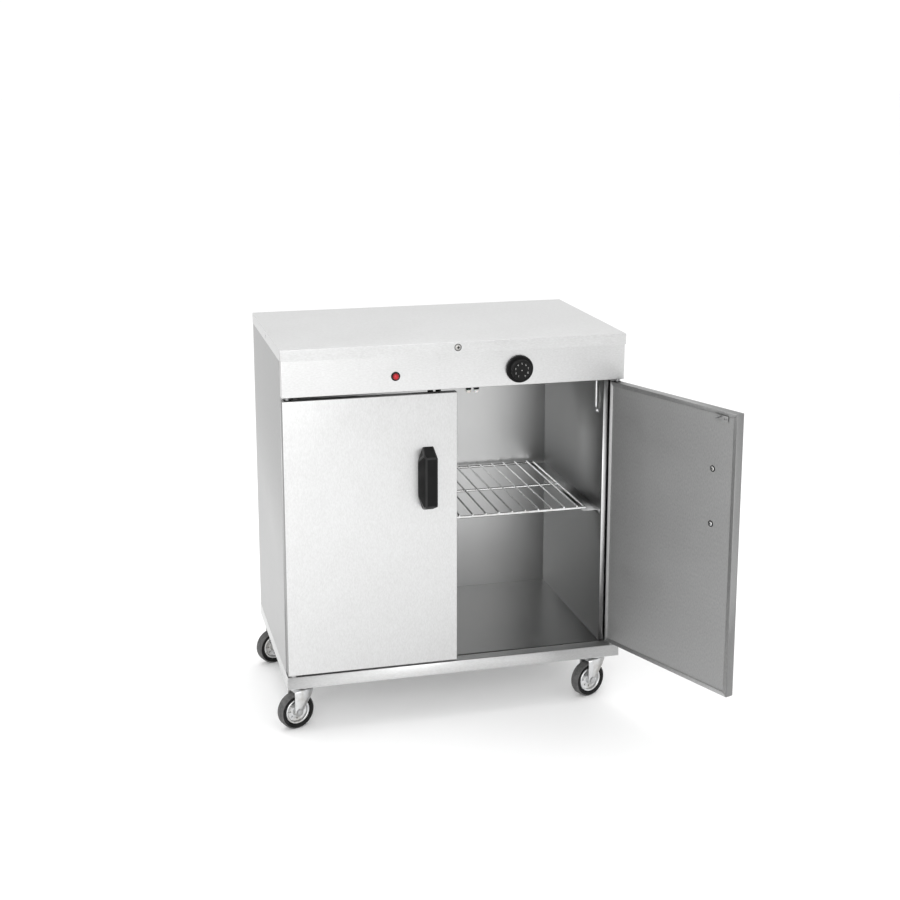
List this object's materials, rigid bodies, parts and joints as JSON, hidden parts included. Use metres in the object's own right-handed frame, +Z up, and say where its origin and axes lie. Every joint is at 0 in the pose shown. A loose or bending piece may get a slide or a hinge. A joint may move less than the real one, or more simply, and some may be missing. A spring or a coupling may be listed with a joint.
{
  "type": "food holding cabinet",
  "caption": "Mobile heated holding cabinet: double-skinned steel casing on swivel castors, with a pair of pivot-hung doors, a wire shelf, a thermostat dial and an indicator lamp.",
  "frame": {"origin": "on the floor, under the middle of the whole object's box as it stands, left door shut and right door open", "axes": "+X to the right of someone facing the doors, +Y from the doors to the back, +Z up"},
  "size_m": [0.9146, 0.7876, 0.845],
  "materials": {
    "casing_steel": "fine brushed stainless sheet",
    "liner_steel": "bright-rolled stainless sheet, half mirror",
    "chrome_wire": "bright plated wire",
    "zinc_plate": "bright zinc plate, slightly cloudy",
    "wheel_centre": "zinc-plated pressing",
    "tyre": "dark grey solid rubber",
    "black_plastic": "fine-grained black moulding",
    "red_lens": "clear red, glossy",
    "white_nylon": "natural white, slightly waxy",
    "sensor_tube": "nickel-plated copper tube",
    "element_sheath": "heat-dulled steel sheath"
  },
  "bodies": {
    "cabinet": {"back_panel": "casing_steel", "base_tray": "casing_steel", "cable_gland": "black_plastic", "castor_plate_front_left": "zinc_plate", "castor_plate_front_right": "zinc_plate", "castor_plate_rear_left": "zinc_plate", "castor_plate_rear_right": "zinc_plate", "cavity_ceiling": "liner_steel", "cavity_floor": "liner_steel", "fascia_panel": "casing_steel", "fascia_screw": "zinc_plate", "heating_element": "element_sheath", "lamp_bezel": "black_plastic", "lamp_lens": "red_lens", "liner_back": "liner_steel", "liner_left": "liner_steel", "liner_right": "liner_steel", "pivot_bolt_left": "zinc_plate", "pivot_bolt_right": "zinc_plate", "roller_catch_left": "white_nylon", "roller_catch_right": "white_nylon", "sensor_bulb": "sensor_tube", "sensor_clip": "zinc_plate", "shelf_runner_left": "liner_steel", "shelf_runner_right": "liner_steel", "side_panel_left": "casing_steel", "side_panel_right": "casing_steel", "thermostat_body": "zinc_plate", "top_panel": "casing_steel"},
    "left_door": {"door_handle_left": "black_plastic", "door_liner_left": "liner_steel", "door_skin_left": "casing_steel", "handle_screw_left_lower": "zinc_plate", "handle_screw_left_upper": "zinc_plate", "strike_left": "zinc_plate"},
    "right_door": {"door_handle_right": "black_plastic", "door_liner_right": "liner_steel", "door_skin_right": "casing_steel", "handle_screw_right_lower": "zinc_plate", "handle_screw_right_upper": "zinc_plate", "strike_right": "zinc_plate"},
    "thermostat": {"thermostat_knob": "black_plastic", "thermostat_spindle": "zinc_plate"},
    "shelf": {"wire_shelf": "chrome_wire"},
    "front_left_fork": {"castor_fork_front_left": "zinc_plate", "castor_axle_front_left": "zinc_plate"},
    "front_left_wheel": {"castor_rim_front_left": "wheel_centre", "castor_tyre_front_left": "tyre"},
    "front_right_fork": {"castor_fork_front_right": "zinc_plate", "castor_axle_front_right": "zinc_plate"},
    "front_right_wheel": {"castor_rim_front_right": "wheel_centre", "castor_tyre_front_right": "tyre"},
    "rear_left_fork": {"castor_fork_rear_left": "zinc_plate", "castor_axle_rear_left": "zinc_plate"},
    "rear_left_wheel": {"castor_rim_rear_left": "wheel_centre", "castor_tyre_rear_left": "tyre"},
    "rear_right_fork": {"castor_fork_rear_right": "zinc_plate", "castor_axle_rear_right": "zinc_plate"},
    "rear_right_wheel": {"castor_rim_rear_right": "wheel_centre", "castor_tyre_rear_right": "tyre"}
  },
  "joints": [
    {"name": "left_door_hinge", "type": "hinge", "parent": "cabinet", "child": "left_door", "pos_m": [-0.42415, -0.05672, 0.436], "axis": [0, 0, -1], "range_deg": [0, 180]},
    {"name": "right_door_hinge", "type": "hinge", "parent": "cabinet", "child": "right_door", "pos_m": [0.29785, -0.05672, 0.436], "axis": [0, 0, 1], "range_deg": [-112, 68]},
    {"name": "thermostat_turn", "type": "hinge", "parent": "cabinet", "child": "thermostat", "pos_m": [0.07185, -0.06492, 0.78], "axis": [0, 1, 0], "range_deg": [0, 270]},
    {"name": "shelf_slide", "type": "slide", "parent": "cabinet", "child": "shelf", "axis": [0, -1, 0], "range_m": [-0.01, 0.015]},
    {"name": "front_left_swivel", "type": "hinge", "parent": "cabinet", "child": "front_left_fork", "pos_m": [-0.39815, -0.02072, 0.088], "axis": [0, 0, 1], "continuous": true},
    {"name": "front_left_roll", "type": "hinge", "parent": "front_left_fork", "child": "front_left_wheel", "pos_m": [-0.41694, -0.02756, 0.04], "axis": [0.342, -0.9397, 0], "continuous": true},
    {"name": "front_right_swivel", "type": "hinge", "parent": "cabinet", "child": "front_right_fork", "pos_m": [0.27185, -0.02072, 0.088], "axis": [0, 0, 1], "continuous": true},
    {"name": "front_right_roll", "type": "hinge", "parent": "front_right_fork", "child": "front_right_wheel", "pos_m": [0.25306, -0.02756, 0.04], "axis": [0.342, -0.9397, 0], "continuous": true},
    {"name": "rear_left_swivel", "type": "hinge", "parent": "cabinet", "child": "rear_left_fork", "pos_m": [-0.39815, 0.34228, 0.088], "axis": [0, 0, 1], "continuous": true},
    {"name": "rear_left_roll", "type": "hinge", "parent": "rear_left_fork", "child": "rear_left_wheel", "pos_m": [-0.41694, 0.33544, 0.04], "axis": [0.342, -0.9397, 0], "continuous": true},
    {"name": "rear_right_swivel", "type": "hinge", "parent": "cabinet", "child": "rear_right_fork", "pos_m": [0.27185, 0.34228, 0.088], "axis": [0, 0, 1], "continuous": true},
    {"name": "rear_right_roll", "type": "hinge", "parent": "rear_right_fork", "child": "rear_right_wheel", "pos_m": [0.25306, 0.33544, 0.04], "axis": [0.342, -0.9397, 0], "continuous": true}
  ]
}
